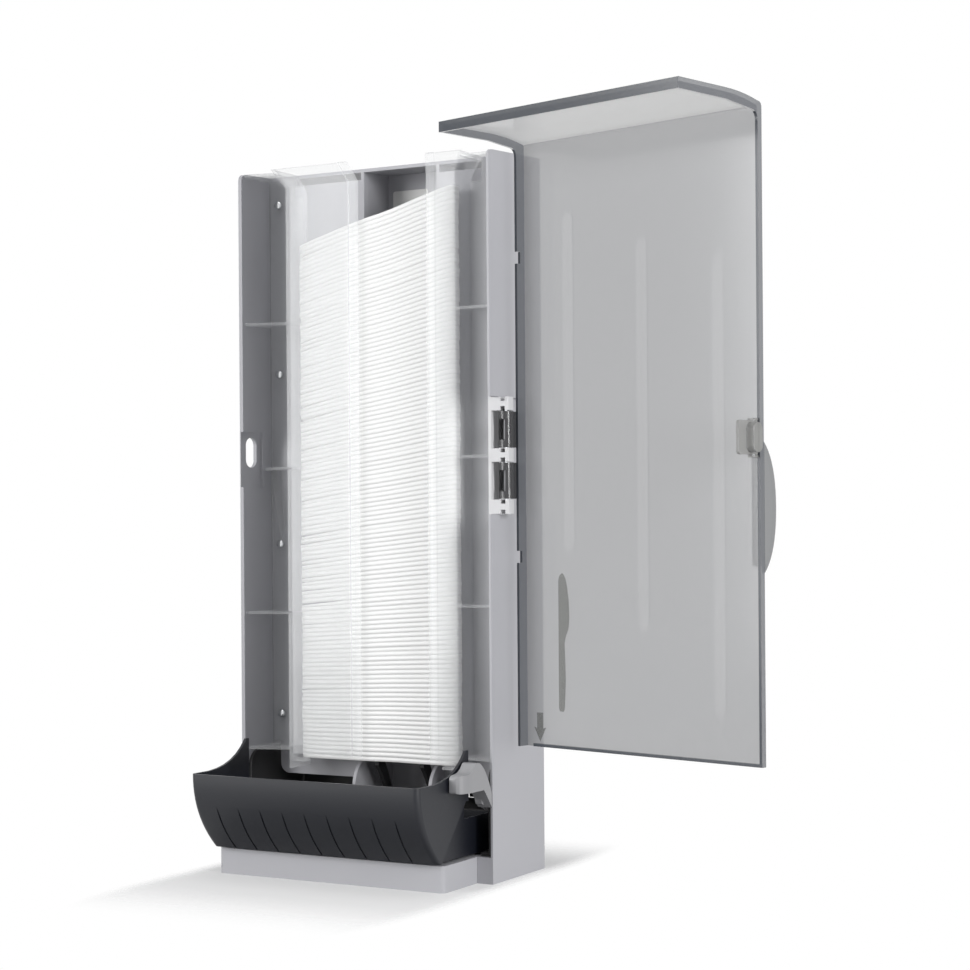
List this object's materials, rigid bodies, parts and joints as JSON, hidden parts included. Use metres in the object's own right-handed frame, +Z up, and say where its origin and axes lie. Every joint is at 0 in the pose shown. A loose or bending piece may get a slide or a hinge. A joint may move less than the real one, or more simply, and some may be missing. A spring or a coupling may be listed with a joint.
{
  "type": "cutlery_dispenser",
  "caption": "Tall counter knife dispenser: grey housing, clear magazine full of white plastic knives, dark catch tray, thumb lever, and a smoke-tinted door swung open on side hinges.",
  "frame": {"origin": "On the counter under the plinth, midway across the housing, under the front edge of the side walls", "axes": "+X to the right seen from the front, +Y towards the back of the housing, +Z up"},
  "size_m": [0.5082, 0.2106, 0.6243],
  "materials": {
    "housing_grey": "fine_grain",
    "bracket_grey": "fine_grain",
    "tray_black": "satin",
    "mechanism_black": "satin",
    "clear_plastic": "clear",
    "smoke_plastic": "smoke_tint",
    "knife_white": "satin",
    "lever_grey": "satin",
    "bush_white": "satin",
    "steel": "bright_zinc"
  },
  "bodies": {
    "housing": {"base_plinth": "housing_grey", "hinge_bracket": "bracket_grey", "hinge_pin_lower": "steel", "hinge_pin_upper": "steel", "knife_bundle_lower": "knife_white", "knife_bundle_middle": "knife_white", "knife_bundle_upper": "knife_white", "label_plate": "bush_white", "magazine_left": "clear_plastic", "magazine_right": "clear_plastic", "magazine_screw_left_1": "steel", "magazine_screw_left_2": "steel", "magazine_screw_left_3": "steel", "magazine_screw_left_4": "steel", "magazine_screw_right_1": "steel", "magazine_screw_right_2": "steel", "magazine_screw_right_3": "steel", "magazine_screw_right_4": "steel", "mechanism_base": "mechanism_black", "mechanism_cover": "mechanism_black", "rear_housing": "housing_grey", "return_spring": "steel", "shaft_bush_left": "bush_white", "shaft_bush_right": "bush_white"},
    "tray": {"catch_tray": "tray_black"},
    "lever": {"dispensing_lever": "lever_grey", "kicker_finger_left": "mechanism_black", "kicker_finger_right": "mechanism_black", "kicker_shaft": "steel"},
    "door": {"door_grip": "smoke_plastic", "door_hinge_arm_lower": "smoke_plastic", "door_hinge_arm_upper": "smoke_plastic", "door_shell": "smoke_plastic", "hinge_sleeve_lower": "steel", "hinge_sleeve_upper": "steel", "latch_bracket": "smoke_plastic", "latch_pin": "steel"},
    "latch": {"door_latch": "smoke_plastic"},
    "next_knife_body": {"next_knife": "knife_white"}
  },
  "joints": [
    {"name": "door_hinge", "type": "hinge", "parent": "housing", "child": "door", "pos_m": [0.1315, 0.0195, 0.36], "axis": [0, 0, 1], "range_deg": [-165.5, 0]},
    {"name": "latch_swing", "type": "hinge", "parent": "door", "child": "latch", "pos_m": [0.3715, -0.02739, 0.3635], "axis": [0, 0, 1], "range_deg": [-8, 0], "stiffness_Nm_per_rad": 0.1},
    {"name": "lever_press", "type": "hinge", "parent": "housing", "child": "lever", "pos_m": [0, 0.06, 0.04], "axis": [1, 0, 0], "range_deg": [0, 16], "stiffness_Nm_per_rad": 0.3},
    {"name": "knife_slide", "type": "slide", "parent": "housing", "child": "next_knife_body", "axis": [0, -1, 0], "range_m": [0, 0.016]},
    {"name": "tray_slide", "type": "slide", "parent": "housing", "child": "tray", "axis": [0, -1, 0], "range_m": [0, 0.09]}
  ],
  "couplings": [
    {"joint": "knife_slide", "follows": "lever_press", "m_per_rad": 0.054}
  ]
}
